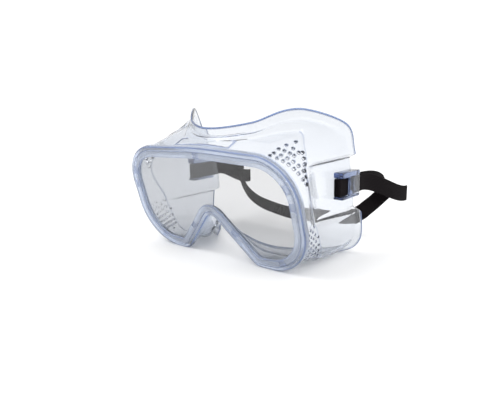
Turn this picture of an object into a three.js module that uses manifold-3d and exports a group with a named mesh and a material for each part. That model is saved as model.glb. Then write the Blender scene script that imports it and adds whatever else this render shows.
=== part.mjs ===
// Direct-vent chemical splash goggles: a soft clear frame body, a flat clear lens, two strap anchors
// and a black elastic headband. Millimetres, +Z up, the lens faces -Y, +X is the wearer's left.
import * as THREE from 'three';
import { mergeVertices } from 'three/addons/utils/BufferGeometryUtils.js';
import Module from 'manifold-3d';

const wasm = await Module();
wasm.setup();

// ---------------------------------------------------------------- driving dimensions
const OPENING_WIDTH = 148; // clear window inside the rim
const OPENING_TOP = 27.3; // above the lens centre line
const OPENING_DEPTH = 43; // lobes, below the lens centre line
const NOSE_APEX = 1.6; // where the nose legs would meet, below the centre line
const NOSE_RADIUS = 14.5;
const LOBE_START = 38.5; // half width where the nose leg meets the lobe
const LOBE_CORNER_RADIUS = 5;
const LOWER_CORNER_RADIUS = 26;
const UPPER_CORNER_RADIUS = 24;
const BROW_DROP = 3; // the brow line falls this much from the middle to the corners
const BROW_RADIUS = 300;
const LOBE_SAG = 0.6; // the lobe's inner corner lies this far below the lobe line
const LOBE_RISE = 1; // and its outer corner this far above it
const SIDE_TAPER = 0.5; // the window's sides come in this much towards the brow

const RIM_FACE = 8.6; // width of the rim bead around the window
const RIM_DEPTH = 5;
const RIM_ROUND = 1.4;
const WALL = 1.8;
const WALL_STEP = 2; // the wall starts this far inside the rim bead's outer edge
const WALL_SET = 0.8; // and this far behind the bead
const FRAME_DEPTH = 81; // lens front to the temple edge of the face flange
const LIP_THICKNESS = 1.4;

const LENS_THICKNESS = 1.6;
const LENS_FIT = 0.3; // clearance all round the lens in its groove
const LENS_BITE = 4; // how far the lens edge reaches into the rim
const LENS_FRONT = 2; // lens front face behind the rim face
const GROOVE_LIP = 1.6; // the groove's rear lip, behind the lens

const VENT_SIDES = 6;

const STRAP_WIDTH = 12.7;
const STRAP_THICKNESS = 1.3;
const STRAP_FIT = 0.3;
const STRAP_RISE = 4; // strap centre line above the lens centre, as the goggles stand
const ANCHOR_LENGTH = 24;
const ANCHOR_SETBACK = 3; // the anchor ends this far in front of the temple edge
const ANCHOR_WINDOW = 10; // open length in front of the bridge, where the strap fold shows
const ANCHOR_BRIDGE = 1.8;
const ANCHOR_TOP_BAR = 4;
const ANCHOR_LOWER_BAR = 1.8;
const JOIN = 1; // the bridge and the post run this far into the bars
const POST_RADIUS = 1;
const FOLD_REAR = 1; // the strap fold ends this far behind the anchor
const CHANNEL_DEPTH = 12; // the channel floors lie this far inside the rim's outer edge
const CHANNEL_MARGIN = 12; // channel beyond the anchor, above and below
const CHANNEL_BLEND = 4;
const CHANNEL_START = 15; // behind the rim face, where the channel begins
const CHANNEL_LEAD = 16; // and how far in front of the anchor it is at its full depth
const TAIL_LENGTH = 67;
const TAIL_DROOP = 17;
const TAIL_SPREAD = 10;
const LEAD_IN = 2; // straight length of the headband at each anchor
const HEADBAND_LEAN = THREE.MathUtils.degToRad(20); // the band lies back where it sags behind the goggles
const HEADBAND_TUCK = THREE.MathUtils.degToRad(35); // its upper edge turns in where it comes forward

const LEAN = THREE.MathUtils.degToRad(15.5); // the lens leans forward as the goggles stand
const BASE_TRIM = 0.4; // cut off the lowest points, so that the goggles stand on small flats

const AROUND = 112; // sections round the frame body
const CORNER_STEPS = 12; // along each rounded corner of the window
const POST_SIDES = 12;
const TAIL_STEPS = 10;
const HEADBAND_STEPS = 76;
const GAP = 0.3;

// ---------------------------------------------------------------- small helpers
function smooth(edge0, edge1, value) {
  const t = THREE.MathUtils.clamp((value - edge0) / (edge1 - edge0), 0, 1);
  return t * t * (3 - 2 * t);
}

/** A closed outline in the x-z plane from corner points [x, z, radius], as evenly spaced points. */
function roundedOutline(corners, count) {
  const fine = [];
  corners.forEach(([x, z, radius], i) => {
    const corner = new THREE.Vector2(x, z);
    const before = new THREE.Vector2(...corners.at(i - 1)).sub(corner).normalize();
    const after = new THREE.Vector2(...corners[(i + 1) % corners.length]).sub(corner).normalize();
    const half = before.angleTo(after) / 2;
    const bisector = before.clone().add(after).normalize();
    const centre = corner.clone().addScaledVector(bisector, radius / Math.sin(half));
    const start = corner.clone().addScaledVector(before, radius / Math.tan(half)).sub(centre);
    const end = corner.clone().addScaledVector(after, radius / Math.tan(half)).sub(centre);
    const turn = Math.atan2(start.cross(end), start.dot(end));
    for (let k = 0; k <= CORNER_STEPS; k += 1) {
      fine.push(start.clone().rotateAround(new THREE.Vector2(), (turn * k) / CORNER_STEPS).add(centre));
    }
  });
  const middle = fine.findIndex((p, k) => k > 0 && fine[k - 1].x < 0 && p.x >= 0 && p.y < 0);
  const ordered = middle > 0 ? [...fine.slice(middle), ...fine.slice(0, middle)] : fine;
  return evenlySpaced(ordered, count);
}

/** Evenly spaced points round a closed polyline. */
function evenlySpaced(points, count) {
  const closed = [...points, points[0]];
  const along = [0];
  for (let i = 1; i < closed.length; i += 1) along.push(along[i - 1] + closed[i].distanceTo(closed[i - 1]));
  const total = along.at(-1);
  const result = [];
  let k = 1;
  for (let i = 0; i < count; i += 1) {
    const target = (total * i) / count;
    while (along[k] < target) k += 1;
    const share = (target - along[k - 1]) / (along[k] - along[k - 1]);
    result.push(closed[k - 1].clone().lerp(closed[k], share));
  }
  return result;
}

/** Outward unit normals of a closed counter-clockwise outline. */
function outlineNormals(outline) {
  return outline.map((_, i) => {
    const tangent = outline[(i + 1) % outline.length].clone().sub(outline.at(i - 1)).normalize();
    return new THREE.Vector2(tangent.y, -tangent.x);
  });
}

/** A geometry from a grid of points: closed both ways, or capped at its two ends. */
function gridGeometry(rings, closedAlong) {
  const sides = rings[0].length;
  const positions = rings.flat().flatMap((p) => [p.x, p.y, p.z]);
  const index = [];
  const spans = closedAlong ? rings.length : rings.length - 1;
  for (let i = 0; i < spans; i += 1) {
    for (let j = 0; j < sides; j += 1) {
      const a = i * sides + j;
      const b = i * sides + ((j + 1) % sides);
      const c = ((i + 1) % rings.length) * sides + ((j + 1) % sides);
      const d = ((i + 1) % rings.length) * sides + j;
      index.push(a, b, c, a, c, d);
    }
  }
  if (!closedAlong) {
    const last = (rings.length - 1) * sides;
    for (let j = 1; j < sides - 1; j += 1) {
      index.push(0, j + 1, j);
      index.push(last, last + j, last + j + 1);
    }
  }
  const geometry = new THREE.BufferGeometry();
  geometry.setAttribute('position', new THREE.Float32BufferAttribute(positions, 3));
  geometry.setIndex(index);
  return geometry;
}

function toSolid(geometry) {
  const bare = geometry.clone();
  bare.deleteAttribute('normal');
  bare.deleteAttribute('uv');
  const merged = mergeVertices(bare, 1e-4);
  const vertProperties = new Float32Array(merged.attributes.position.array);
  const triVerts = new Uint32Array(merged.index.array);
  return new wasm.Manifold(new wasm.Mesh({ numProp: 3, vertProperties, triVerts }));
}

function toGeometry(solid) {
  const { vertProperties, triVerts } = solid.getMesh();
  const geometry = new THREE.BufferGeometry();
  geometry.setAttribute('position', new THREE.BufferAttribute(new Float32Array(vertProperties), 3));
  geometry.setIndex(new THREE.BufferAttribute(new Uint32Array(triVerts), 1));
  return geometry;
}

function box(x0, x1, y0, y1, z0, z1) {
  const geometry = new THREE.BoxGeometry(x1 - x0, y1 - y0, z1 - z0);
  return geometry.translate((x0 + x1) / 2, (y0 + y1) / 2, (z0 + z1) / 2);
}

// ---------------------------------------------------------------- the window outline
const HALF = OPENING_WIDTH / 2;
const CHANNEL_FLOOR = HALF + RIM_FACE - CHANNEL_DEPTH;
const CHANNEL_FULL = FRAME_DEPTH - ANCHOR_SETBACK - ANCHOR_LENGTH - CHANNEL_LEAD;
const rightCorners = [
  [LOBE_START, -OPENING_DEPTH - LOBE_SAG, LOBE_CORNER_RADIUS],
  [HALF, -OPENING_DEPTH + LOBE_RISE, LOWER_CORNER_RADIUS],
  [HALF - SIDE_TAPER, OPENING_TOP - BROW_DROP, UPPER_CORNER_RADIUS],
];
const leftCorners = rightCorners.map(([x, z, r]) => [-x, z, r]).reverse();
const windowCorners = [
  [0, -NOSE_APEX, NOSE_RADIUS],
  ...rightCorners,
  [0, OPENING_TOP, BROW_RADIUS],
  ...leftCorners,
];
const WINDOW = roundedOutline(windowCorners, AROUND);
const NORMALS = outlineNormals(WINDOW);

/** The window outline moved outward by a distance, at a depth behind the rim face. */
function rimLoop(outward, depth) {
  return WINDOW.map((p, i) => {
    const n = NORMALS[i];
    return new THREE.Vector3(p.x + n.x * outward, depth, p.y + n.y * outward);
  });
}

// ---------------------------------------------------------------- the wall behind the rim
// Named places round the right half of the rim, from the nose to the middle of the brow. aim is [across,
// up]: shares of the rim's half width and of its reach above or below the lens centre. crease and edge
// are steps [out, back, up] from the rim there to the crease behind the vented shoulder and to the edge of
// the face flange; back is a share of FRAME_DEPTH. lip is the step from that edge to the root of its lip.
const place = (name, aim, crease, edge, lip) => ({ name, aim, crease, edge, lip });
const PLACES = [
  place('nose', [0, -0.33], [0, 0.09, 0.5], [0, 0.12, -12], [0, -3, 4]),
  place('nose_flank', [0.194, -0.62], [-2, 0.12, 1], [-3.5, 0.2, -8], [1, -3, 4]),
  place('inner_cheek', [0.387, -0.95], [0, 0.16, 2], [0, 0.36, -6], [0, -4, 4]),
  place('cheek', [0.605, -1.008], [2, 0.25, -1], [7, 0.68, -15.5], [-1, -4, 4.5]),
  place('lower_corner', [0.896, -0.756], [-2, 0.31, -10], [3, 0.87, -21], [-2, -5, 3]),
  place('lower_side', [1, -0.33], [-7, 0.26, -2], [-7, 1, -8], [-1, -5.5, 0]),
  place('upper_side', [0.993, 0.167], [-4, 0.22, 3], [-6, 1, 3], [-1, -5.5, 0]),
  place('upper_corner', [0.908, 0.585], [-6, 0.39, 5], [-1.5, 0.95, 7], [-2, -5, -3.5]),
  place('peak', [0.7385, 0.891], [-5, 0.57, 1.5], [-8.5, 0.69, 13.5], [0, -3, -5.5]),
  place('brow', [0.4116, 0.975], [-4, 0.26, 1], [-4, 0.38, 9], [0, -2.5, -5]),
  place('brow_middle', [0, 1], [0, 0.15, 1], [0, 0.22, 7.5], [0, -2, -4.5]),
];

const RIM_EDGE = rimLoop(RIM_FACE, RIM_DEPTH);
const PLACE_INDEX = PLACES.map(({ aim: [across, up] }) => {
  const reach = RIM_FACE + (up > 0 ? OPENING_TOP : OPENING_DEPTH);
  const target = new THREE.Vector3(across * (HALF + RIM_FACE), RIM_DEPTH, up * reach);
  const distances = RIM_EDGE.slice(0, AROUND / 2 + 1).map((p) => p.distanceTo(target));
  return distances.indexOf(Math.min(...distances));
});
PLACE_INDEX[0] = 0;
PLACE_INDEX[PLACES.length - 1] = AROUND / 2;

/** A loop through one point per place, mirrored to the other half and smoothed between places. */
function placeLoop(pointAt) {
  const knots = PLACES.map((knot, k) => {
    return { u: PLACE_INDEX[k], p: pointAt(knot, RIM_EDGE[PLACE_INDEX[k]]) };
  });
  const mirrored = knots.slice(1, -1).reverse().map(({ u, p }) => {
    return { u: AROUND - u, p: new THREE.Vector3(-p.x, p.y, p.z) };
  });
  const ring = [...knots, ...mirrored];
  const at = (k) => {
    const turns = Math.floor(k / ring.length);
    const knot = ring[k - turns * ring.length];
    return { u: knot.u + turns * AROUND, p: knot.p };
  };
  const slope = (k) => {
    const rise = at(k + 1).p.clone().sub(at(k - 1).p);
    return rise.divideScalar(at(k + 1).u - at(k - 1).u);
  };
  return WINDOW.map((_, i) => {
    let k = 0;
    while (at(k + 1).u <= i) k += 1;
    const span = at(k + 1).u - at(k).u;
    const t = (i - at(k).u) / span;
    const point = at(k).p.clone().multiplyScalar(2 * t ** 3 - 3 * t ** 2 + 1);
    point.addScaledVector(slope(k), (t ** 3 - 2 * t ** 2 + t) * span);
    point.addScaledVector(at(k + 1).p, -2 * t ** 3 + 3 * t ** 2);
    return point.addScaledVector(slope(k + 1), (t ** 3 - t ** 2) * span);
  });
}

function stepFrom(rim, [out, back, up]) {
  return new THREE.Vector3(rim.x + out, back * FRAME_DEPTH, rim.z + up);
}

const WALL_START = rimLoop(RIM_FACE - WALL_STEP, RIM_DEPTH + WALL_SET);

/** Height of a point once the frame leans, with the lens centre at zero. */
function leaningHeight(point) {
  return point.z * Math.cos(LEAN) + point.y * Math.sin(LEAN);
}
const LOBE_LOW = Math.min(...rimLoop(RIM_FACE, RIM_ROUND).map(leaningHeight));
const STAND_HEIGHT = -LOBE_LOW - BASE_TRIM;
const STRAP_HEIGHT = STAND_HEIGHT + STRAP_RISE;

// The cheeks of the flange come down to the plane that the two lobes stand on.
const CHEEK = PLACES.find(({ name }) => name === 'cheek');
const CHEEK_RIM = RIM_EDGE[PLACE_INDEX[PLACES.indexOf(CHEEK)]];
const CHEEK_LEVEL = (LOBE_LOW - CHEEK.edge[1] * FRAME_DEPTH * Math.sin(LEAN)) / Math.cos(LEAN);
CHEEK.edge[2] = CHEEK_LEVEL - CHEEK_RIM.z;

const CREASE = placeLoop(({ crease }, rim) => stepFrom(rim, crease));
const EDGE = placeLoop(({ edge }, rim) => stepFrom(rim, edge));
const LIP_ROOT = placeLoop(({ edge, lip }, rim) => stepFrom(rim, edge).add(new THREE.Vector3(...lip)));

/** The wall between two loops, bulged outward from the straight line, more so along its underside. */
function between(loopA, loopB, share, bulge) {
  return loopA.map((a, i) => {
    const n = NORMALS[i];
    const swell = bulge * (1 + Math.max(0, -n.y)) * 4 * share * (1 - share);
    const point = a.clone().lerp(loopB[i], share);
    return point.add(new THREE.Vector3(n.x * swell, 0, n.y * swell));
  });
}

/** A point of the upright frame, moved to where it is once the frame stands and leans. */
function standing(point) {
  const leaning = point.clone().applyAxisAngle(new THREE.Vector3(1, 0, 0), LEAN);
  return leaning.add(new THREE.Vector3(0, 0, STAND_HEIGHT));
}

/** Presses the strap channel into the side walls. */
function pressChannel(point, inset) {
  const height = Math.abs(standing(point).z - STRAP_HEIGHT);
  const reach = STRAP_WIDTH / 2 + CHANNEL_MARGIN;
  const across = 1 - smooth(reach, reach + CHANNEL_BLEND, height);
  const along = smooth(CHANNEL_START, CHANNEL_FULL, point.y);
  const floor = CHANNEL_FLOOR - inset;
  const side = Math.abs(point.x);
  const pressed = side > floor ? THREE.MathUtils.lerp(side, floor, across * along) : side;
  return new THREE.Vector3(Math.sign(point.x) * pressed, point.y, point.z);
}

const WALL_LOOPS = [
  WALL_START,
  between(WALL_START, CREASE, 0.5, 0),
  CREASE,
  between(CREASE, LIP_ROOT, 0.35, 1),
  between(CREASE, LIP_ROOT, 0.7, 1),
  LIP_ROOT,
  EDGE,
];

/** Unit normals of the wall loops, pointing out of the goggles. */
function wallNormals(loops) {
  return loops.map((loop, j) => loop.map((_, i) => {
    const next = loop[(i + 1) % loop.length];
    const around = next.clone().sub(loop.at(i - 1));
    const ahead = loops[Math.min(j + 1, loops.length - 1)][i];
    const behind = loops[Math.max(j - 1, 0)][i];
    return around.cross(ahead.clone().sub(behind)).normalize().negate();
  }));
}
const WALL_NORMALS = wallNormals(WALL_LOOPS);

/** The wall's loops moved inward by its thickness, which thins to the lip. */
function innerLoop(j) {
  const thickness = j === WALL_LOOPS.length - 1 ? LIP_THICKNESS : WALL;
  return WALL_LOOPS[j].map((p, i) => p.clone().addScaledVector(WALL_NORMALS[j][i], -thickness));
}

function frameSections() {
  const grooveFront = LENS_FRONT - LENS_FIT;
  const grooveBack = LENS_FRONT + LENS_THICKNESS + LENS_FIT;
  const grooveFloor = LENS_BITE + LENS_FIT;
  const loops = [
    rimLoop(0, RIM_ROUND / 2),
    rimLoop(RIM_ROUND / 2, 0),
    rimLoop(RIM_FACE - RIM_ROUND, 0),
    rimLoop(RIM_FACE, RIM_ROUND),
    rimLoop(RIM_FACE, RIM_DEPTH),
    ...WALL_LOOPS.map((loop) => loop.map((p) => pressChannel(p, 0))),
    ...WALL_LOOPS.map((_, j) => innerLoop(j).map((p) => pressChannel(p, WALL))).reverse(),
    rimLoop(GROOVE_LIP, grooveBack + GROOVE_LIP),
    rimLoop(GROOVE_LIP, grooveBack),
    rimLoop(grooveFloor, grooveBack),
    rimLoop(grooveFloor, grooveFront),
    rimLoop(0, grooveFront),
  ];
  return WINDOW.map((_, i) => loops.map((loop) => loop[i]));
}

// ---------------------------------------------------------------- vents
// Each group starts at a named place. A row has count holes; along and back give its first and last hole:
// along is the distance round the window from that place, back the distance from the rim over the shoulder.
const VENT_GROUPS = [
  {
    start: 'upper_side',
    diameter: 2.7,
    rows: [
      { count: 7, along: [26.5, 4.5], back: [3.4, 9.5] },
      { count: 6, along: [26, 6.5], back: [7.4, 14] },
      { count: 4, along: [26, 16], back: [13.5, 15.8] },
      { count: 3, along: [24.5, 15], back: [20.5, 21] },
      { count: 1, along: [21.5, 21.5], back: [28, 28] },
      { count: 6, along: [12.5, 1], back: [23.5, 11] },
    ],
  },
  {
    start: 'lower_corner',
    diameter: 1.9,
    rows: [
      { count: 6, along: [14, -2], back: [3.5, 3.5] },
      { count: 6, along: [15.6, -0.4], back: [7.3, 7.3] },
      { count: 6, along: [14, -2], back: [11.1, 11.1] },
      { count: 6, along: [15.6, -0.4], back: [14.9, 14.9] },
    ],
  },
];

/** A point and outward normal on the vented shoulder, at a place round the rim and a distance back. */
function shoulderAt(u, back) {
  const i = Math.floor(u) % AROUND;
  const next = (i + 1) % AROUND;
  const part = u - Math.floor(u);
  const start = WALL_START[i].clone().lerp(WALL_START[next], part);
  const end = CREASE[i].clone().lerp(CREASE[next], part);
  const share = back / start.distanceTo(end);
  const around = WALL_START[next].clone().sub(WALL_START[i]).lerp(CREASE[next].clone().sub(CREASE[i]), share);
  const normal = around.cross(end.clone().sub(start)).normalize().negate();
  return { point: start.lerp(end, share), normal, share };
}

/** A cutter for one perforation, square to the wall. */
function ventCutter(point, normal, diameter) {
  const radius = diameter / 2;
  const cutter = new THREE.CylinderGeometry(radius, radius, WALL * 4, VENT_SIDES);
  cutter.applyQuaternion(new THREE.Quaternion().setFromUnitVectors(new THREE.Vector3(0, 1, 0), normal));
  return toSolid(cutter.translate(point.x, point.y, point.z));
}

/** Cutters for every perforation, in mirrored pairs. */
function ventCutters() {
  const perSection = WINDOW[1].distanceTo(WINDOW[0]);
  const mirror = new THREE.Vector3(-1, 1, 1);
  const cutters = [];
  VENT_GROUPS.forEach(({ start, diameter, rows }) => {
    const origin = PLACE_INDEX[PLACES.findIndex(({ name }) => name === start)];
    rows.forEach(({ count, along, back }) => {
      for (let k = 0; k < count; k += 1) {
        const step = count > 1 ? k / (count - 1) : 0;
        const u = origin + THREE.MathUtils.lerp(...along, step) / perSection;
        const { point, normal, share } = shoulderAt(u, THREE.MathUtils.lerp(...back, step));
        if (share < 1) {
          cutters.push(ventCutter(point, normal, diameter));
          cutters.push(ventCutter(point.multiply(mirror), normal.multiply(mirror), diameter));
        }
      }
    });
  });
  return cutters;
}

// ---------------------------------------------------------------- the frame body and the lens
/** Moves an upright geometry to the standing frame. */
function stand(geometry) {
  return geometry.rotateX(LEAN).translate(0, 0, STAND_HEIGHT);
}

function frameBody() {
  let solid = toSolid(gridGeometry(frameSections(), true));
  ventCutters().forEach((cutter) => {
    solid = solid.subtract(cutter);
  });
  const standingSolid = toSolid(stand(toGeometry(solid)));
  const below = box(-HALF * 2, HALF * 2, -FRAME_DEPTH, FRAME_DEPTH * 2, -FRAME_DEPTH, 0);
  return toGeometry(standingSolid.subtract(toSolid(below)));
}

function lens() {
  const outline = rimLoop(LENS_BITE, 0).map((p) => new THREE.Vector2(p.x, p.z));
  const shape = new THREE.Shape(outline);
  const plate = new THREE.ExtrudeGeometry(shape, { depth: LENS_THICKNESS, bevelEnabled: false });
  plate.rotateX(Math.PI / 2).translate(0, LENS_FRONT + LENS_THICKNESS, 0);
  return stand(plate);
}

// ---------------------------------------------------------------- strap anchors
const SEAT = CHANNEL_FLOOR + GAP;
const INNER_LAYER = SEAT + STRAP_FIT + STRAP_THICKNESS / 2;
const POST_X = INNER_LAYER + STRAP_THICKNESS / 2 + STRAP_FIT + POST_RADIUS;
const OUTER_LAYER = POST_X + POST_RADIUS + STRAP_FIT + STRAP_THICKNESS / 2;
const BRIDGE_X = OUTER_LAYER + STRAP_THICKNESS / 2 + STRAP_FIT;
const ANCHOR_OUTER = BRIDGE_X + ANCHOR_BRIDGE;
const STRAP_TOP = STRAP_HEIGHT + STRAP_WIDTH / 2;
const STRAP_FOOT = STRAP_HEIGHT - STRAP_WIDTH / 2;

// The anchor's rear end lies just in front of the temple edge of the face flange at the strap's height.
const TEMPLE = EDGE.slice(0, AROUND / 2).map(standing).filter((p) => p.x > CHANNEL_FLOOR);
const TEMPLE_AT_STRAP = TEMPLE.reduce((best, p) => {
  return Math.abs(p.z - STRAP_HEIGHT) < Math.abs(best.z - STRAP_HEIGHT) ? p : best;
});
const ANCHOR_REAR = TEMPLE_AT_STRAP.y - ANCHOR_SETBACK;
const ANCHOR_FRONT = ANCHOR_REAR - ANCHOR_LENGTH;
const POST_Y = ANCHOR_FRONT + POST_RADIUS;

/** A two-bar anchor on the +X side: top and lower bars, a front post and an outer bridge. */
function strapAnchor() {
  const topLow = STRAP_TOP + STRAP_FIT;
  const footHigh = STRAP_FOOT - STRAP_FIT;
  const bridgeFront = ANCHOR_FRONT + ANCHOR_WINDOW;
  const top = box(SEAT, ANCHOR_OUTER, ANCHOR_FRONT, ANCHOR_REAR, topLow, topLow + ANCHOR_TOP_BAR);
  const foot = box(SEAT, ANCHOR_OUTER, ANCHOR_FRONT, ANCHOR_REAR, footHigh - ANCHOR_LOWER_BAR, footHigh);
  const bridge = box(BRIDGE_X, ANCHOR_OUTER, bridgeFront, ANCHOR_REAR, footHigh - JOIN, topLow + JOIN);
  const post = new THREE.CylinderGeometry(POST_RADIUS, POST_RADIUS, topLow - footHigh + 2 * JOIN, POST_SIDES);
  post.rotateX(Math.PI / 2).translate(POST_X, POST_Y, STRAP_HEIGHT);
  return [foot, bridge, post].reduce((sum, piece) => sum.add(toSolid(piece)), toSolid(top));
}

// ---------------------------------------------------------------- the strap in the anchors
/** The fold round the post: both layers of the strap, from the anchor's rear end and back. */
function strapFold() {
  const radius = (OUTER_LAYER - INNER_LAYER) / 2;
  const half = STRAP_THICKNESS / 2;
  const rear = ANCHOR_REAR + FOLD_REAR;
  const shape = new THREE.Shape();
  shape.moveTo(INNER_LAYER - half, rear);
  shape.lineTo(INNER_LAYER - half, POST_Y);
  shape.absarc(POST_X, POST_Y, radius + half, Math.PI, 2 * Math.PI, false);
  shape.lineTo(OUTER_LAYER + half, rear);
  shape.lineTo(OUTER_LAYER - half, rear);
  shape.lineTo(OUTER_LAYER - half, POST_Y);
  shape.absarc(POST_X, POST_Y, radius - half, 2 * Math.PI, Math.PI, true);
  shape.lineTo(INNER_LAYER + half, rear);
  const options = { depth: STRAP_WIDTH, bevelEnabled: false, curveSegments: 8 };
  return new THREE.ExtrudeGeometry(shape, options).translate(0, 0, STRAP_FOOT);
}

/** A flat band along a curve. sideAt gives the direction across its width. */
function band(points, sideAt) {
  const rings = points.map((p, i) => {
    const ahead = points[Math.min(i + 1, points.length - 1)];
    const behind = points[Math.max(i - 1, 0)];
    const along = ahead.clone().sub(behind).normalize();
    const across = sideAt(i / (points.length - 1));
    across.addScaledVector(along, -across.dot(along)).normalize();
    const face = along.clone().cross(across);
    const corners = [[1, 1], [-1, 1], [-1, -1], [1, -1]];
    return corners.map(([w, f]) => {
      const corner = p.clone().addScaledVector(across, (w * STRAP_WIDTH) / 2);
      return corner.addScaledVector(face, (f * STRAP_THICKNESS) / 2);
    });
  });
  return gridGeometry(rings, false);
}

const UP = new THREE.Vector3(0, 0, 1);
const STRAP_EXIT = ANCHOR_REAR + FOLD_REAR + GAP;

/** The free tail on the +X side, which droops and spreads away from the head loop. */
function strapTail() {
  const points = Array.from({ length: TAIL_STEPS + 1 }, (_, i) => {
    const t = i / TAIL_STEPS;
    const away = smooth(1 / TAIL_STEPS, 1, t);
    const start = new THREE.Vector3(OUTER_LAYER, STRAP_EXIT, STRAP_HEIGHT);
    return start.add(new THREE.Vector3(TAIL_SPREAD * away, TAIL_LENGTH * t, -TAIL_DROOP * away));
  });
  return band(points, () => UP.clone());
}

// The loop that goes round the head, from the +X anchor to the -X one, as steps from the strap's exit on
// the +X side: [across, back, up]. Its last step across is the whole way over to the other anchor.
const HEADBAND_ROUTE = [
  [0, 0, 0], [-0.3, 14, 0], [-0.8, 30, -1.5], [-1.2, 45, -5], [-1.8, 58, -10], [-4.5, 66, -15.5],
  [-9.5, 67, -21.5], [-13, 60, -27], [-14, 50, -30], [-15, 38, -33], [-20, 30, -35], [-32, 25, -36],
  [-52, 22, -37], [-72, 21, -37], [-90, 21, -35], [-108, 21, -31], [-122, 23, -25], [-131, 26, -18],
  [-136, 28, -12], [-139, 29, -7], [-141, 27, -3], [-142.4, 22, -0.5], [-143.2, 12, 0.2], [-143.7, 0, 0],
];

function headband() {
  const across = (-2 * INNER_LAYER) / HEADBAND_ROUTE.at(-1)[0];
  const knots = HEADBAND_ROUTE.map(([x, back, up]) => {
    return new THREE.Vector3(INNER_LAYER + x * across, STRAP_EXIT + LEAD_IN + back, STRAP_HEIGHT + up);
  });
  const curve = new THREE.CatmullRomCurve3(knots);
  const leadIn = new THREE.Vector3(0, -LEAD_IN, 0);
  const points = curve.getSpacedPoints(HEADBAND_STEPS);
  const first = points[0].clone().add(leadIn);
  const last = points.at(-1).clone().add(leadIn);
  return band([first, ...points, last], (t) => {
    const lean = HEADBAND_LEAN * smooth(0, 0.4, t) * (1 - smooth(0.7, 1, t));
    const tuck = HEADBAND_TUCK * smooth(0.12, 0.26, t) * (1 - smooth(0.36, 0.5, t));
    return new THREE.Vector3(-Math.sin(tuck), -Math.sin(lean), Math.cos(lean));
  });
}

// ---------------------------------------------------------------- assembly
const CLEAR = { transparent: true, opacity: 0.45, metalness: 0 };
const PVC = new THREE.MeshStandardMaterial({ color: 0xb4c4dc, roughness: 0.15, ...CLEAR });
const POLYCARBONATE = new THREE.MeshStandardMaterial({ color: 0xe4e6e8, roughness: 0.05, ...CLEAR });
const ELASTIC = new THREE.MeshStandardMaterial({ color: 0x1a1518, roughness: 0.9, metalness: 0 });

function mirrored(geometry) {
  const copy = geometry.clone();
  copy.scale(-1, 1, 1);
  const index = copy.index ? [...copy.index.array] : [...Array(copy.attributes.position.count).keys()];
  for (let i = 0; i < index.length; i += 3) [index[i], index[i + 1]] = [index[i + 1], index[i]];
  copy.setIndex(index);
  return copy;
}

const anchor = toGeometry(strapAnchor());
const fold = strapFold();
const tail = strapTail();
const PIECES = [
  ['frame_body', frameBody(), PVC],
  ['lens', lens(), POLYCARBONATE],
  ['strap_anchor_left', anchor, PVC],
  ['strap_anchor_right', mirrored(anchor), PVC],
  ['strap_fold_left', fold, ELASTIC],
  ['strap_fold_right', mirrored(fold), ELASTIC],
  ['strap_tail_left', tail, ELASTIC],
  ['strap_tail_right', mirrored(tail), ELASTIC],
  ['headband', headband(), ELASTIC],
];

const goggles = new THREE.Group();
PIECES.forEach(([name, geometry, material]) => {
  geometry.deleteAttribute('uv');
  geometry.computeVertexNormals();
  const mesh = new THREE.Mesh(geometry, material.clone());
  mesh.name = name;
  goggles.add(mesh);
});

// The origin is under the middle of the goggles and their tails, without the free headband.
const bounds = new THREE.Box3();
goggles.children.filter((mesh) => mesh.name !== 'headband').forEach((mesh) => bounds.expandByObject(mesh));
goggles.position.y = -(bounds.min.y + bounds.max.y) / 2;

export default goggles;
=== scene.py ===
"""Clear splash goggles: a soft frame body, a flat lens, strap anchors and a knitted elastic headband.

The goggles stand on the lobes of the rim and the cheeks of the face flange, leaning forward. Shapes are
worked out in millimetres in the upright frame of the lens (x to the wearer's left, y back, z up, origin
on the middle of the rim face) and placed in the row frame, in metres.
"""
import logging
import math
from dataclasses import dataclass, field
from enum import Enum

import bmesh
import bpy
import numpy as np
from mathutils import Matrix, Vector
from mathutils.kdtree import KDTree


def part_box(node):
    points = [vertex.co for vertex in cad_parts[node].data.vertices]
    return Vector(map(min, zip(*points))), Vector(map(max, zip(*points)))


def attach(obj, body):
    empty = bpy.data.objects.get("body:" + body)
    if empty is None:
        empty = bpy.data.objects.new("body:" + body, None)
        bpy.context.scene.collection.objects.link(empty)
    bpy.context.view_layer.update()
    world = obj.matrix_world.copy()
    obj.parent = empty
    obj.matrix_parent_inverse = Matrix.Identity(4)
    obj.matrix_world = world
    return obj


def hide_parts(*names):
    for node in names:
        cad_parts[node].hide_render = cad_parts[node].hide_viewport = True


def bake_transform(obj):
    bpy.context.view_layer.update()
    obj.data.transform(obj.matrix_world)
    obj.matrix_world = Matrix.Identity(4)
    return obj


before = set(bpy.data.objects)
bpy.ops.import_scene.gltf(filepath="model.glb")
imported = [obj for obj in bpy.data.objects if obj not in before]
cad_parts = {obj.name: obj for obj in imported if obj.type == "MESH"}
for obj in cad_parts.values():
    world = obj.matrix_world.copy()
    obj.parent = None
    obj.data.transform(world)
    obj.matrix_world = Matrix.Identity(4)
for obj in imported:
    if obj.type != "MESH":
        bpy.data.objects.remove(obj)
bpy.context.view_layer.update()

LOG = logging.getLogger("goggles")
MM = 0.001
TINY = 1e-12
Loop = np.ndarray
Colour = tuple[float, float, float]
NodeValues = dict[str | int, object]
RimPlane = tuple[Vector, float, float]


class Slot(Enum):
    """The record's material slots."""

    CLEAR_PVC = "clear_pvc"
    POLYCARBONATE = "clear_polycarbonate"
    ELASTIC = "black_elastic"


class Side(Enum):
    """The two sides of the goggles: the wearer's left is +X."""

    LEFT = 1
    RIGHT = -1

    @property
    def label(self) -> str:
        """The side's name as the nodes spell it."""
        return self.name.lower()


# ---------------------------------------------------------------- shape helpers
BLOCK_FACES = [(0, 1, 3, 2), (4, 6, 7, 5), (0, 4, 5, 1), (2, 3, 7, 6), (0, 2, 6, 4), (1, 5, 7, 3)]


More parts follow.
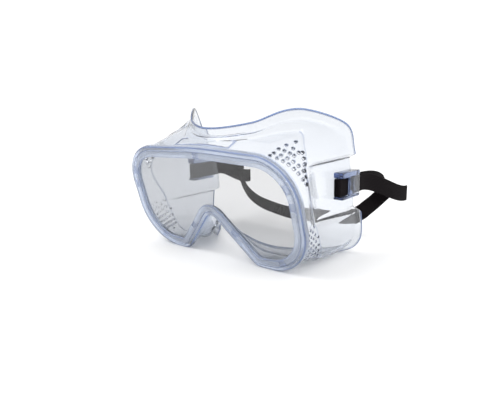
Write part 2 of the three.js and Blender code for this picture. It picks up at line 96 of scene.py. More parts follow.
def smooth(low: float, high: float, value: np.ndarray) -> np.ndarray:
    """A smooth step.

    Args:
        low: Where the step starts.
        high: Where it ends.
        value: What to step, a number or an array.

    Returns:
        0 below low, 1 above high, and a smooth blend between.
    """
    t = np.clip((value - low) / (high - low), 0.0, 1.0)
    return t * t * (3.0 - 2.0 * t)


def unit(vectors: np.ndarray) -> np.ndarray:
    """Vectors scaled to length one, along the last axis."""
    return vectors / np.maximum(np.linalg.norm(vectors, axis=-1, keepdims=True), TINY)


def spaced(points: np.ndarray, count: int, closed: bool) -> np.ndarray:
    """Evenly spaced points along a polyline.

    Args:
        points: The polyline's points.
        count: How many points to return.
        closed: Whether the last point joins the first.

    Returns:
        count points, with both ends where the polyline is open.
    """
    line = np.vstack([points, points[:1]]) if closed else points
    along = run_along(line)
    targets = np.linspace(0.0, along[-1], count, endpoint=not closed)
    return np.stack([np.interp(targets, along, line[:, axis]) for axis in range(line.shape[1])], axis=1)


def path_length(points: np.ndarray) -> float:
    """The length of an open polyline."""
    return float(run_along(points)[-1])


def catmull_rom(knots: np.ndarray, steps: int) -> np.ndarray:
    """A smooth open curve through knots, centripetal, so that it never loops between them.

    Args:
        knots: The points that the curve passes.
        steps: Points per span.

    Returns:
        The curve's points, both ends among them.
    """
    padded = np.vstack([2 * knots[0] - knots[1], knots, 2 * knots[-1] - knots[-2]])
    points = []
    for k in range(len(knots) - 1):
        p0, p1, p2, p3 = padded[k : k + 4]
        t1 = math.sqrt(np.linalg.norm(p1 - p0))
        t2 = t1 + math.sqrt(np.linalg.norm(p2 - p1))
        t3 = t2 + math.sqrt(np.linalg.norm(p3 - p2))
        for t in np.linspace(t1, t2, steps, endpoint=False):
            a1 = (t1 - t) / t1 * p0 + t / t1 * p1
            a2 = (t2 - t) / (t2 - t1) * p1 + (t - t1) / (t2 - t1) * p2
            a3 = (t3 - t) / (t3 - t2) * p2 + (t - t2) / (t3 - t2) * p3
            b1 = (t2 - t) / t2 * a1 + t / t2 * a2
            b2 = (t3 - t) / (t3 - t1) * a2 + (t - t1) / (t3 - t1) * a3
            points.append((t2 - t) / (t2 - t1) * b1 + (t - t1) / (t2 - t1) * b2)
    return np.array([*points, knots[-1]])


def grid_faces(rings: int, sides: int, closed_along: bool) -> list[tuple[int, ...]]:
    """Faces of a grid of points that closes round its sides.

    Args:
        rings: How many rings.
        sides: Points in each ring.
        closed_along: Whether the last ring joins the first; if not, both ends get a cap.

    Returns:
        The faces, as point numbers.
    """
    spans = rings if closed_along else rings - 1
    faces: list[tuple[int, ...]] = []
    for i in range(spans):
        here, there = i * sides, ((i + 1) % rings) * sides
        for j in range(sides):
            after = (j + 1) % sides
            faces.append((here + j, here + after, there + after, there + j))
    if not closed_along:
        last = (rings - 1) * sides
        faces.append(tuple(range(sides - 1, -1, -1)))
        faces.append(tuple(last + j for j in range(sides)))
    return faces


def new_object(name: str, points: np.ndarray, faces: list[tuple[int, ...]]) -> bpy.types.Object:
    """A mesh object from points in millimetres in the row frame.

    Args:
        name: The object's name.
        points: Its points, in millimetres.
        faces: Its faces, as point numbers.

    Returns:
        The new object, linked to the scene, with its faces pointing out.
    """
    mesh = bpy.data.meshes.new(name)
    mesh.from_pydata((points * MM).tolist(), [], faces)
    shell = bmesh.new()
    shell.from_mesh(mesh)
    bmesh.ops.recalc_face_normals(shell, faces=shell.faces)
    shell.to_mesh(mesh)
    shell.free()
    piece = bpy.data.objects.new(name, mesh)
    bpy.context.scene.collection.objects.link(piece)
    return piece


def block(name: str, low: tuple[float, float, float], high: tuple[float, float, float]) -> bpy.types.Object:
    """A closed block between two corners, in millimetres in the row frame.

    Args:
        name: The object's name.
        low: Its low corner.
        high: Its high corner.

    Returns:
        The new block.
    """
    spans = list(zip(low, high))
    corners = [[x, y, z] for x in spans[0] for y in spans[1] for z in spans[2]]
    return new_object(name, np.array(corners, float), BLOCK_FACES)


def run_along(points: np.ndarray) -> np.ndarray:
    """How far along a polyline each of its points is."""
    return np.concatenate([[0.0], np.cumsum(np.linalg.norm(np.diff(points, axis=0), axis=1))])


def span_share(low: tuple[float, float], high: tuple[float, float], t: np.ndarray) -> np.ndarray:
    """A smooth rise over one span and a smooth fall over a later one.

    Args:
        low: Where the rise starts and ends.
        high: Where the fall starts and ends.
        t: Where along the route, from 0 to 1.

    Returns:
        The share at each t, from 0 to 1.
    """
    return smooth(*low, t) * (1 - smooth(*high, t))


def apply_modifiers(piece: bpy.types.Object) -> None:
    """Writes an object's modifiers into its mesh.

    Args:
        piece: The object.
    """
    evaluated = piece.evaluated_get(bpy.context.evaluated_depsgraph_get())
    mesh = bpy.data.meshes.new_from_object(evaluated)
    piece.modifiers.clear()
    piece.data = mesh


def combine(piece: bpy.types.Object, tool: bpy.types.Object, operation: str) -> None:
    """Joins or cuts two closed meshes and removes the tool.

    Args:
        piece: The mesh that is kept.
        tool: The closed mesh that is added or taken away.
        operation: UNION or DIFFERENCE.
    """
    boolean = piece.modifiers.new("combine", "BOOLEAN")
    boolean.operation = operation
    boolean.solver = "MANIFOLD"
    boolean.object = tool
    apply_modifiers(piece)
    bpy.data.objects.remove(tool, do_unlink=True)


def shade(piece: bpy.types.Object, angle: float = 35.0) -> None:
    """Smooth shading that keeps edges sharper than an angle, in degrees."""
    piece.data.shade_smooth()
    piece.data.set_sharp_from_angle(angle=math.radians(angle))


# ---------------------------------------------------------------- finishes
@dataclass
class Nodes:
    """A material's node tree, with short ways to add and join its nodes."""

    material: bpy.types.Material

    def add(self, kind: str, values: NodeValues | None = None, **settings: object) -> bpy.types.Node:
        """Adds a shader node.

        Args:
            kind: Its type, without the ShaderNode in front.
            values: Input values by name or number.
            settings: The node's own properties, which are set first.

        Returns:
            The new node.
        """
        node = self.material.node_tree.nodes.new(f"ShaderNode{kind}")
        for name, value in settings.items():
            setattr(node, name, value)
        for name, value in (values or {}).items():
            node.inputs[name].default_value = value
        return node

    def join(self, *joints: tuple[bpy.types.Node, str, bpy.types.Node, str | int]) -> None:
        """Links outputs to inputs.

        Args:
            joints: Each is a node, its output, the next node and its input.
        """
        for source, output, target, entry in joints:
            self.material.node_tree.links.new(source.outputs[output], target.inputs[entry])


def new_material(name: str) -> tuple[Nodes, bpy.types.Node, bpy.types.Node]:
    """A node material, with its shader and its output.

    Args:
        name: The material's name.

    Returns:
        Its nodes, its shader and its output.
    """
    material = bpy.data.materials.new(name)
    material.use_nodes = True
    nodes = material.node_tree.nodes
    return Nodes(material), nodes["Principled BSDF"], nodes["Material Output"]


@dataclass(frozen=True)
class ClearFinish:
    """A clear moulded plastic: bright face on, tinted where light runs along inside it.

    inside and density are the body's tint; colour, clearness and roughness are its surface's. The rim of the
    frame may be milkier than the rest, and its edges, creases and recesses may get painted shade: dark blue
    laid on where the plastic looks dark seen edge on.
    """

    name: str
    slot: Slot
    inside: Colour
    density: float
    ior: float
    colour: Colour
    clearness: float
    roughness: float
    ripple: float
    ripple_size: float
    haze_scale: float = 60.0
    haze_range: tuple[float, float] = (0.5, 1.6)
    rim_colour: Colour = (1.0, 1.0, 1.0)
    rim_clearness: float = 1.0
    rim_roughness: float = 0.0
    # Painted shade: the dark blue colour and lower clearness laid on edges, creases and recesses.
    edge_shade_colour: Colour = (1.0, 1.0, 1.0)
    edge_shade_clearness: float = 1.0

    def material(self, rim_plane: RimPlane | None = None) -> bpy.types.Material:
        """The finish as a node material, with a faint moulded ripple and haze.

        Args:
            rim_plane: The direction back from the rim face, and the distances along it between which the
                rim's look gives way to the rest's. None leaves one look throughout.

        Returns:
            The new material.
        """
        tree, shader, output = new_material(self.name)
        shader.inputs["Base Color"].default_value = (*self.colour, 1.0)
        shader.inputs["Transmission Weight"].default_value = self.clearness
        shader.inputs["IOR"].default_value = self.ior
        low, high = (self.roughness * share for share in self.haze_range)
        place = tree.add("TexCoord")
        haze = tree.add("TexNoise", {"Scale": self.haze_scale, "Detail": 3.0})
        spread = tree.add("MapRange", {"To Min": low, "To Max": high})
        wave = tree.add("TexNoise", {"Scale": 1.0 / self.ripple_size, "Detail": 1.5})
        bump = tree.add("Bump", {"Strength": self.ripple, "Distance": MM})
        volume = tree.add("VolumeAbsorption", {"Color": (*self.inside, 1.0), "Density": self.density})
        tree.join(
            (place, "Object", haze, "Vector"),
            (place, "Object", wave, "Vector"),
            (haze, "Fac", spread, "Value"),
            (spread, "Result", shader, "Roughness"),
            (wave, "Fac", bump, "Height"),
            (bump, "Normal", shader, "Normal"),
            (volume, "Volume", output, "Volume"),
        )
        if rim_plane is not None:
            self.add_rim(tree, shader, spread, rim_plane)
        return tree.material

    def add_rim(
        self, tree: Nodes, shader: bpy.types.Node, spread: bpy.types.Node, rim_plane: RimPlane
    ) -> None:
        """Gives the rim its own milkier look, and paints dark blue shade on the edges.

        Args:
            tree: The finish's nodes.
            shader: Its shader.
            spread: The node that gives the roughness of the rest.
            rim_plane: As in material(). The painted edge shade is read from a point attribute of the
                moulding.
        """
        back, near, far = rim_plane
        place = tree.add("TexCoord")
        depth = tree.add("VectorMath", {1: back}, operation="DOT_PRODUCT")
        rest = tree.add("MapRange", {"From Min": near, "From Max": far}, interpolation_type="SMOOTHSTEP")
        ends = {"A": (*self.rim_colour, 1.0), "B": (*self.colour, 1.0)}
        colour = tree.add("Mix", ends, data_type="RGBA")
        # Painted shade: dark blue mixed into the colour, and less transmission, where the plastic looks dark
        # seen edge on.
        edge = tree.add("Attribute", attribute_name="painted_edge_shade")
        edge_shaded = tree.add("Mix", {"B": (*self.edge_shade_colour, 1.0)}, data_type="RGBA")
        rough = tree.add("Mix", {"A": self.rim_roughness})
        clear = tree.add("Mix", {"A": self.rim_clearness, "B": self.clearness})
        shaded_clearness = tree.add("Mix", {"B": self.edge_shade_clearness})
        tree.join(
            (place, "Object", depth, 0),
            (depth, "Value", rest, "Value"),
            (rest, "Result", colour, "Factor"),
            (rest, "Result", rough, "Factor"),
            (rest, "Result", clear, "Factor"),
            (edge, "Fac", edge_shaded, "Factor"),
            (edge, "Fac", shaded_clearness, "Factor"),
            (colour, "Result", edge_shaded, "A"),
            (spread, "Result", rough, "B"),
            (clear, "Result", shaded_clearness, "A"),
            (edge_shaded, "Result", shader, "Base Color"),
            (rough, "Result", shader, "Roughness"),
            (shaded_clearness, "Result", shader, "Transmission Weight"),
        )


@dataclass(frozen=True)
class KnitFinish:
    """Knitted elastic: fine wales along the band, courses across it, a little dusty sheen."""

    name: str
    slot: Slot
    yarn: Colour
    worn: Colour
    wale_pitch: float
    course_pitch: float
    lint_scale: float = 300.0
    knit_relief: float = 0.0002
    bands_per_unit: float = 3.18
    roughness: float = 0.9
    sheen: float = 0.03
    sheen_roughness: float = 0.5
    specular: float = 0.06
    course_waver: float = 0.6
    wale_waver: float = 0.3
    bump: float = 0.6

    def material(self) -> bpy.types.Material:
        """The finish as a node material, on the band's own length and width.

        Returns:
            The new material.
        """
        tree, shader, _ = new_material(self.name)
        shader.inputs["Roughness"].default_value = self.roughness
        shader.inputs["Sheen Weight"].default_value = self.sheen
        shader.inputs["Sheen Roughness"].default_value = self.sheen_roughness
        shader.inputs["Specular IOR Level"].default_value = self.specular
        across, down = (1.0 / pitch / self.bands_per_unit for pitch in (self.course_pitch, self.wale_pitch))
        lay = tree.add("UVMap", uv_map="weave")
        course_look = {"Scale": across, "Distortion": self.course_waver, "Detail": 1.0}
        courses = tree.add("TexWave", course_look, bands_direction="X")
        wales = tree.add("TexWave", {"Scale": down, "Distortion": self.wale_waver}, bands_direction="Y")
        place = tree.add("TexCoord")
        lint = tree.add("TexNoise", {"Scale": self.lint_scale, "Detail": 4.0})
        both = tree.add("Math", operation="MULTIPLY")
        share = tree.add("Math", operation="MULTIPLY")
        mix = tree.add("Mix", {"A": (*self.yarn, 1.0), "B": (*self.worn, 1.0)}, data_type="RGBA")
        bump = tree.add("Bump", {"Strength": self.bump, "Distance": self.knit_relief})
        tree.join(
            (lay, "UV", courses, "Vector"),
            (lay, "UV", wales, "Vector"),
            (place, "Object", lint, "Vector"),
            (courses, "Fac", both, 0),
            (wales, "Fac", both, 1),
            (both, "Value", share, 0),
            (lint, "Fac", share, 1),
            (share, "Value", mix, "Factor"),
            (mix, "Result", shader, "Base Color"),
            (both, "Value", bump, "Height"),
            (bump, "Normal", shader, "Normal"),
        )
        return tree.material


BLUISH = (0.43, 0.51, 0.66)
FRAME_PVC = ClearFinish(
    name="soft_clear_pvc",
    slot=Slot.CLEAR_PVC,
    inside=BLUISH,
    density=150.0,
    ior=1.36,
    colour=(0.93, 0.94, 0.95),
    clearness=0.93,
    roughness=0.05,
    ripple=0.05,
    ripple_size=0.012,
    rim_colour=(0.86, 0.91, 1.0),
    rim_clearness=0.78,
    rim_roughness=0.22,
    # Painted shade on the moulding's edges, creases, recesses and vent holes: dark blue, and less clear.
    edge_shade_colour=(0.10, 0.18, 0.42),
    edge_shade_clearness=0.55,
)
ANCHOR_PVC = ClearFinish(
    name="anchor_clear_pvc",
    slot=Slot.CLEAR_PVC,
    inside=(0.30, 0.42, 0.66),
    density=150.0,
    ior=1.40,
    colour=(0.96, 0.97, 0.99),
    clearness=0.97,
    roughness=0.06,
    ripple=0.04,
    ripple_size=0.006,
)
# Painted shade: the lens is clear; this grey absorption darkens what is seen through it, for the shaded
# inside and backdrop.
LENS_CLEAR = ClearFinish(
    name="lens_polycarbonate",
    slot=Slot.POLYCARBONATE,
    inside=(0.40, 0.41, 0.43),
    density=390.0,
    ior=1.45,
    colour=(1.0, 1.0, 1.0),
    clearness=1.0,
    roughness=0.012,
    ripple=0.01,
    ripple_size=0.05,
)
ELASTIC = KnitFinish(
    name="black_knit_elastic",
    slot=Slot.ELASTIC,
    yarn=(0.0045, 0.003, 0.0038),
    worn=(0.013, 0.0105, 0.012),
    wale_pitch=0.0012,
    course_pitch=0.0009,
)


@dataclass
class Assembly:
    """What every sub-assembly does with a finished piece."""

    body: str = "goggles"

    def dress(
        self, piece: bpy.types.Object, finish: ClearFinish | KnitFinish, *nodes: str
    ) -> bpy.types.Object:
        """Gives a piece its finish and its place in the model.

        Args:
            piece: The finished mesh.
            finish: What it is made of.
            nodes: The CAD nodes that it stands for.

        Returns:
            The same piece.
        """
        material = bpy.data.materials.get(finish.name) or finish.material()
        piece.data.materials.clear()
        piece.data.materials.append(material)
        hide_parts(*nodes)
        LOG.info("%s: %d faces, for %s", piece.name, len(piece.data.polygons), ", ".join(nodes))
        return piece


# ---------------------------------------------------------------- frame body and lens
@dataclass(frozen=True)
class Place:
    """A named place round the rim.

    aim is [across, up], as shares of the rim's half width and of its reach above or below the lens centre.
    The steps are [out, back, up] from the rim's edge there; back is a share of the frame's depth.
    """

    name: str
    aim: tuple[float, float]
    crease: tuple[float, float, float]
    edge: tuple[float, float, float]
    lip: tuple[float, float, float]


@dataclass(frozen=True)
class VentRow:
    """A row of perforations: how many, and where the first and last are, along the rim and back from it."""

    count: int
    along: tuple[float, float]
    back: tuple[float, float]


@dataclass(frozen=True)
class VentGroup:
    """Rows of perforations, measured from a named place on the rim."""

    start: str
    diameter: float
    rows: tuple[VentRow, ...]


@dataclass(frozen=True)
class Tint:
    """How deep a line of painted edge shade is, and how far it reaches to each side."""

    strength: float
    half_width: float


@dataclass
class FrameBody(Assembly):
    """The soft moulding: rim bead, vented shoulders, side walls with strap channels, and face flange."""

    opening_width: float = 148.0
    opening_top: float = 27.3
    opening_depth: float = 43.0
    nose_apex: float = 1.6
    nose_radius: float = 14.5
    lobe_start: float = 38.5
    lobe_corner_radius: float = 5.0
    lower_corner_radius: float = 26.0
    upper_corner_radius: float = 24.0
    brow_drop: float = 3.0
    brow_radius: float = 300.0
    lobe_sag: float = 0.6
    lobe_rise: float = 1.0
    side_taper: float = 0.5
    corner_steps: int = 40
    rim_face: float = 8.6
    rim_depth: float = 5.0
    rim_round: float = 1.8
    cad_rim_round: float = 1.4
    bead_rear: tuple[float, float] = (0.5, 0.6)
    window_round: float = 0.8
    bead_groove: float = 5.2
    groove_width: float = 0.4
    groove_depth: float = 0.3
    tab_band: tuple[float, float] = (0.9, 4.4)
    tab_edge: float = 0.4
    tab_depth: float = 0.6
    tab_half: float = 2.4
    panel_across: tuple[float, float] = (-28.0, 25.0)
    panel_back: tuple[float, float] = (2.5, 11.5)
    panel_line: float = 0.9
    panel_rise: float = 0.35
    milky_to: tuple[float, float] = (5.0, 8.0)
    # Painted shade along edges, creases, recesses, the brow panel's outline and round the vents: depth and
    # reach.
    flange_shade: Tint = Tint(0.95, 1.3)
    crease_shade: Tint = Tint(0.6, 0.8)
    crease_shade_from: float = 0.8
    rim_edge_shade: Tint = Tint(0.95, 0.9)
    window_shade: Tint = Tint(0.5, 0.7)
    window_edge: float = 0.3
    groove_shade: Tint = Tint(0.5, 0.5)
    panel_shade: Tint = Tint(0.7, 0.9)
    tab_side_shade: Tint = Tint(0.95, 0.8)
    tab_end_shade: Tint = Tint(0.6, 0.7)
    tab_side_from: float = 0.2
    tab_point_step: float = 0.3
    vent_shade: float = 0.65
    vent_shade_reach: float = 0.5
    wall: float = 1.8
    wall_step: float = 2.0
    wall_set: float = 0.8
    frame_depth: float = 81.0
    lip_thickness: float = 1.4
    lens_thickness: float = 1.6
    lens_fit: float = 0.3
    lens_bite: float = 4.0
    lens_front: float = 2.0
    groove_lip: float = 1.6
    groove_soft: float = 0.4
    lens_soft: float = 0.25
    lens_sharp_from: float = 30.0
    tab_places: tuple[tuple[str, float], ...] = (
        ("upper_corner", -5.8),
        ("lower_side", 17.4),
        ("lower_corner", -11.6),
        ("nose_flank", 0.0),
    )
    strap_width: float = 12.7
    strap_rise: float = 4.0
    channel_depth: float = 12.0
    channel_margin: float = 12.0
    channel_blend: float = 4.0
    channel_start: float = 15.0
    channel_full: float = 38.0
    lean: float = math.radians(15.5)
    base_trim: float = 0.4
    trim_block: tuple[float, float] = (120.0, 20.0)
    sharp_from: float = 38.0
    around: int = 960
    shoulder_rows: int = 16
    side_rows: int = 36
    lip_rows: int = 5
    vent_sides: int = 16
    ridge: float = 0.55
    ridge_profile: tuple[float, float, float] = (0.35, 1.0, 0.35)
    ridge_span: tuple[float, float] = (0.75, 0.9)
    edge_bead: float = 1.0
    bead_turn: tuple[float, float] = (-25.0, 205.0)
    bead_steps: int = 9
    places: tuple[Place, ...] = (
        Place("nose", (0, -0.33), (0, 0.09, 0.5), (0, 0.12, -12), (0, -3, 4)),
        Place("nose_flank", (0.194, -0.62), (-2, 0.12, 1), (-3.5, 0.2, -8), (1, -3, 4)),
        Place("inner_cheek", (0.387, -0.95), (0, 0.16, 2), (0, 0.36, -6), (0, -4, 4)),
        Place("cheek", (0.605, -1.008), (2, 0.25, -1), (7, 0.68, -15.5), (-1, -4, 4.5)),
        Place("lower_corner", (0.896, -0.756), (-2, 0.31, -10), (3, 0.87, -21), (-2, -5, 3)),
        Place("lower_side", (1, -0.33), (-7, 0.26, -2), (-7, 1, -8), (-1, -5.5, 0)),
        Place("upper_side", (0.993, 0.167), (-4, 0.22, 3), (-6, 1, 3), (-1, -5.5, 0)),
        Place("upper_corner", (0.908, 0.585), (-6, 0.39, 5), (-1.5, 0.95, 7), (-2, -5, -3.5)),
        Place("peak", (0.7385, 0.891), (-5, 0.57, 1.5), (-8.5, 0.69, 13.5), (0, -3, -5.5)),
        Place("brow", (0.4116, 0.975), (-4, 0.26, 1), (-4, 0.38, 9), (0, -2.5, -5)),
        Place("brow_middle", (0, 1), (0, 0.15, 1), (0, 0.22, 7.5), (0, -2, -4.5)),
    )
    vents: tuple[VentGroup, ...] = (
        VentGroup(
            "upper_side",
            2.7,
            (
                VentRow(7, (26.5, 4.5), (3.4, 9.5)),
                VentRow(6, (26, 6.5), (7.4, 14)),
                VentRow(4, (26, 16), (13.5, 15.8)),
                VentRow(3, (24.5, 15), (20.5, 21)),
                VentRow(1, (21.5, 21.5), (28, 28)),
                VentRow(6, (12.5, 1), (23.5, 11)),
            ),
        ),
        VentGroup(
            "lower_corner",
            1.9,
            (
                VentRow(7, (14, -5.2), (3.5, 3.5)),
                VentRow(7, (15.6, -3.6), (7.3, 7.3)),
                VentRow(7, (14, -5.2), (11.1, 11.1)),
                VentRow(6, (15.6, -0.4), (14.9, 14.9)),
                VentRow(5, (14, 1.2), (18.7, 18.7)),
            ),
        ),
    )
    window: Loop = field(init=False)
    normals: Loop = field(init=False)
    lobe_low: float = field(init=False)
    stand_height: float = field(init=False)
    shift: float = field(init=False)

    def __post_init__(self) -> None:
        """Works out the window, how high the lens stands, and where the frame lies along Y."""
        self.window = self.outline()
        ahead, behind = np.roll(self.window, -1, axis=0), np.roll(self.window, 1, axis=0)
        along = unit(ahead - behind)
        self.normals = np.stack([along[:, 1], -along[:, 0]], axis=1)
        self.lobe_low = self.leaning_height(self.rim_loop(self.rim_face, self.cad_rim_round)).min()
        self.stand_height = -self.lobe_low - self.base_trim
        self.shift = 0.0
        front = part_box("lens")[0].y / MM
        self.shift = front - self.standing(self.rim_loop(self.lens_bite, self.lens_front))[:, 1].min()

    def outline(self) -> Loop:
        """The clear window inside the rim, from the middle of the nose, in the plane of the lens.

        Returns:
            One [across, up] point per section.
        """
        half = self.opening_width / 2
        right = [
            (self.lobe_start, -self.opening_depth - self.lobe_sag, self.lobe_corner_radius),
            (half, -self.opening_depth + self.lobe_rise, self.lower_corner_radius),
            (half - self.side_taper, self.opening_top - self.brow_drop, self.upper_corner_radius),
        ]
        left = [(-x, z, radius) for x, z, radius in reversed(right)]
        nose, brow = (0.0, -self.nose_apex, self.nose_radius), (0.0, self.opening_top, self.brow_radius)
        corners = [nose, *right, brow, *left]
        points = []
        for i, (x, z, radius) in enumerate(corners):
            corner = np.array([x, z])
            before = unit(np.array(corners[i - 1][:2]) - corner)
            after = unit(np.array(corners[(i + 1) % len(corners)][:2]) - corner)
            half_angle = math.acos(float(np.clip(before @ after, -1, 1))) / 2
            centre = corner + unit(before + after) * radius / math.sin(half_angle)
            start = corner + before * radius / math.tan(half_angle) - centre
            end = corner + after * radius / math.tan(half_angle) - centre
            first = math.atan2(start[1], start[0])
            turn = math.atan2(start[0] * end[1] - start[1] * end[0], float(start @ end))
            angles = first + turn * np.linspace(0, 1, self.corner_steps + 1)
            points.append(centre + radius * np.stack([np.cos(angles), np.sin(angles)], axis=1))
        from_nose = np.roll(np.vstack(points), -self.corner_steps // 2, axis=0)
        return spaced(from_nose, self.around, closed=True)

    def rim_loop(self, outward: float | np.ndarray, depth: float | np.ndarray) -> Loop:
        """The window outline moved outward by a distance, at a depth behind the rim face.

        Args:
            outward: How far out from the window, one number or one per section.
            depth: How far behind the rim face, likewise.

        Returns:
            The loop, one point per section.
        """
        moved = self.window + self.normals * np.reshape(outward, (-1, 1))
        depths = np.broadcast_to(np.asarray(depth, float), (self.around,))
        return np.stack([moved[:, 0], depths, moved[:, 1]], axis=1)

    def leaning_height(self, points: np.ndarray) -> np.ndarray:
        """Heights once the frame leans, with the lens centre at zero."""
        return points[..., 2] * math.cos(self.lean) + points[..., 1] * math.sin(self.lean)

    def standing(self, points: np.ndarray) -> np.ndarray:
        """Points of the upright frame, in the row frame.

        Args:
            points: Points of the upright frame.

        Returns:
            The same points, leaning and standing, in millimetres.
        """
        back = points[..., 1] * math.cos(self.lean) - points[..., 2] * math.sin(self.lean) + self.shift
        up = self.leaning_height(points) + self.stand_height
        return np.stack([points[..., 0], back, up], axis=-1)

    def place_index(self, name: str) -> int:
        """The section of the right half of the rim that is nearest to a named place.

        Args:
            name: The place's name.

        Returns:
            The section's number.
        """
        place = next(place for place in self.places if place.name == name)
        if place is self.places[0]:
            return 0
        if place is self.places[-1]:
            return self.around // 2
        edge = self.rim_loop(self.rim_face, self.rim_depth)[: self.around // 2 + 1]
        across = place.aim[0] * (self.opening_width / 2 + self.rim_face)
        reach = self.rim_face + (self.opening_top if place.aim[1] > 0 else self.opening_depth)
        return int(np.hypot(edge[:, 0] - across, edge[:, 2] - place.aim[1] * reach).argmin())

    def place_loop(self, step_of: str) -> Loop:
        """A loop through one point per place, mirrored to the other half and smoothed between them.

        Args:
            step_of: crease, edge or lip: which of the places' steps to follow.

        Returns:
            One point per section.
        """
        edge = self.rim_loop(self.rim_face, self.rim_depth)
        knots = []
        for place in self.places:
            index = self.place_index(place.name)
            out, back, up = place.crease if step_of == "crease" else place.edge
            if place.name == "cheek" and step_of != "crease":
                level = (self.lobe_low - back * self.frame_depth * math.sin(self.lean)) / math.cos(self.lean)
                up = level - edge[index, 2]
            point = np.array([edge[index, 0] + out, back * self.frame_depth, edge[index, 2] + up])
            knots.append((index, point + np.array(place.lip) if step_of == "lip" else point))
        mirrored = [(self.around - index, point * [-1, 1, 1]) for index, point in knots[-2:0:-1]]
        ring = knots + mirrored
        at = np.array([index for index, _ in ring], float)
        points = np.array([point for _, point in ring])
        at = np.concatenate([at[-1:] - self.around, at, at[:2] + self.around])
        points = np.vstack([points[-1:], points, points[:2]])
        slopes = np.zeros_like(points)
        slopes[1:-1] = (points[2:] - points[:-2]) / (at[2:] - at[:-2])[:, None]
        section = np.arange(self.around)
        k = np.searchsorted(at, section, side="right") - 1
        span = at[k + 1] - at[k]
        t = ((section - at[k]) / span)[:, None]
        span = span[:, None]
        return (
            points[k] * (2 * t**3 - 3 * t**2 + 1)
            + slopes[k] * (t**3 - 2 * t**2 + t) * span
            + points[k + 1] * (3 * t**2 - 2 * t**3)
            + slopes[k + 1] * (t**3 - t**2) * span
        )

    def wall_rows(self) -> np.ndarray:
        """The outer face of the wall, from behind the rim to the flange's edge: rows of loops.

        Returns:
            The rows, from front to back.
        """
        start = self.rim_loop(self.rim_face - self.wall_step, self.rim_depth + self.wall_set)
        crease, root, edge = (self.place_loop(step) for step in ("crease", "lip", "edge"))
        rows = [start + (crease - start) * share for share in np.linspace(0, 1, self.shoulder_rows + 1)]
        under = 1 + np.maximum(0, -self.normals[:, 1])
        for share in np.linspace(0, 1, self.side_rows + 1)[1:]:
            swell = (under * 4 * share * (1 - share))[:, None]
            bulge = np.stack([self.normals[:, 0], np.zeros(self.around), self.normals[:, 1]], axis=1)
            rows.append(root * share + crease * (1 - share) + bulge * swell)
        rows += [root + (edge - root) * share for share in np.linspace(0, 1, self.lip_rows + 1)[1:]]
        grid = np.array(rows)
        for _ in range(2):
            grid[1:-1] = (grid[:-2] + 2 * grid[1:-1] + grid[2:]) / 4
        return grid

    def soften(self, rows: np.ndarray) -> np.ndarray:
        """Evens out the rows of the side wall where the strap channel is pressed into it.

        Args:
            rows: The rows of loops of one face of the wall.

        Returns:
            The rows, evened out.
        """
        first, last = self.shoulder_rows + 2, self.shoulder_rows + self.side_rows
        for _ in range(4):
            rows = rows.copy()
            side = rows[first:last]
            side = (np.roll(side, 1, axis=1) + 2 * side + np.roll(side, -1, axis=1)) / 4
            rows[first:last] = (rows[first - 1 : last - 1] + 2 * side + rows[first + 1 : last + 1]) / 4
        return rows

    def panel_outline(self, rows: np.ndarray) -> np.ndarray:
        """How much of the blank brow panel's raised outline is at each row and section, from 0 to 1.

        Args:
            rows: The rows of loops of the wall's outer face.

        Returns:
            A share for each point.
        """
        steps = np.linalg.norm(np.diff(rows, axis=0, prepend=rows[:1]), axis=2)
        back = np.cumsum(steps, axis=0)
        (left, right), (near, far) = self.panel_across, self.panel_back
        across = np.abs(rows[..., 0] - (left + right) / 2) - (right - left) / 2
        behind = np.abs(back - (near + far) / 2) - (far - near) / 2
        away = np.abs(np.maximum(across, behind))
        on_brow = (rows[..., 2] > 0) & (np.arange(len(rows)) < self.shoulder_rows)[:, None]
        return np.where(on_brow, 1 - smooth(self.panel_line / 2, self.panel_line, away), 0.0)

    def crease_ridge(self) -> np.ndarray:
        """How far a fine ridge down the crease stands out at the sides, at each row and section.

        Returns:
            A height for each row and section, in millimetres.
        """
        across = np.zeros(self.shoulder_rows + self.side_rows + self.lip_rows + 1)
        across[self.shoulder_rows - 1 : self.shoulder_rows + 2] = self.ridge_profile
        side_share = np.abs(self.window[:, 0]) / (self.opening_width / 2)
        return self.ridge * across[:, None] * smooth(*self.ridge_span, side_share)[None, :]

    @staticmethod
    def row_normals(rows: np.ndarray) -> np.ndarray:
        """Unit normals of a grid of loops, pointing out of the goggles.

        Args:
            rows: The rows of loops.

        Returns:
            A normal for each point.
        """
        around = np.roll(rows, -1, axis=1) - np.roll(rows, 1, axis=1)
        ahead = np.gradient(rows, axis=0)
        return -unit(np.cross(around, ahead))

    def press_channel(self, points: np.ndarray, inset: float) -> np.ndarray:
        """Presses the strap channels into the side walls.

        Args:
            points: Points of the upright frame.
            inset: How far inside the channel's floor to press them.

        Returns:
            The pressed points.
        """
        height = np.abs(self.leaning_height(points) - self.strap_rise)
        reach = self.strap_width / 2 + self.channel_margin
        across = 1 - smooth(reach, reach + self.channel_blend, height)
        along = smooth(self.channel_start, self.channel_full, points[..., 1])
        floor = self.opening_width / 2 + self.rim_face - self.channel_depth - inset
        side = np.abs(points[..., 0])
        pressed = np.where(side > floor, side + (floor - side) * across * along, side)
        result = points.copy()
        result[..., 0] = np.sign(points[..., 0]) * pressed
        return result

    def tabs(self) -> np.ndarray:
        """How deep the moulded rim recesses are at each section, from 0 to 1.

        Returns:
            A share for each section.
        """
        step = np.linalg.norm(self.window[1] - self.window[0])
        spots = [self.around // 2]
        for name, along in self.tab_places:
            spot = self.place_index(name) + int(round(along / step))
            spots += [spot, self.around - spot]
        section = np.arange(self.around)
        away = np.min([np.abs(section - spot) for spot in spots], axis=0) * step
        return 1 - smooth(self.tab_half, self.tab_half + self.tab_edge * 2, away)

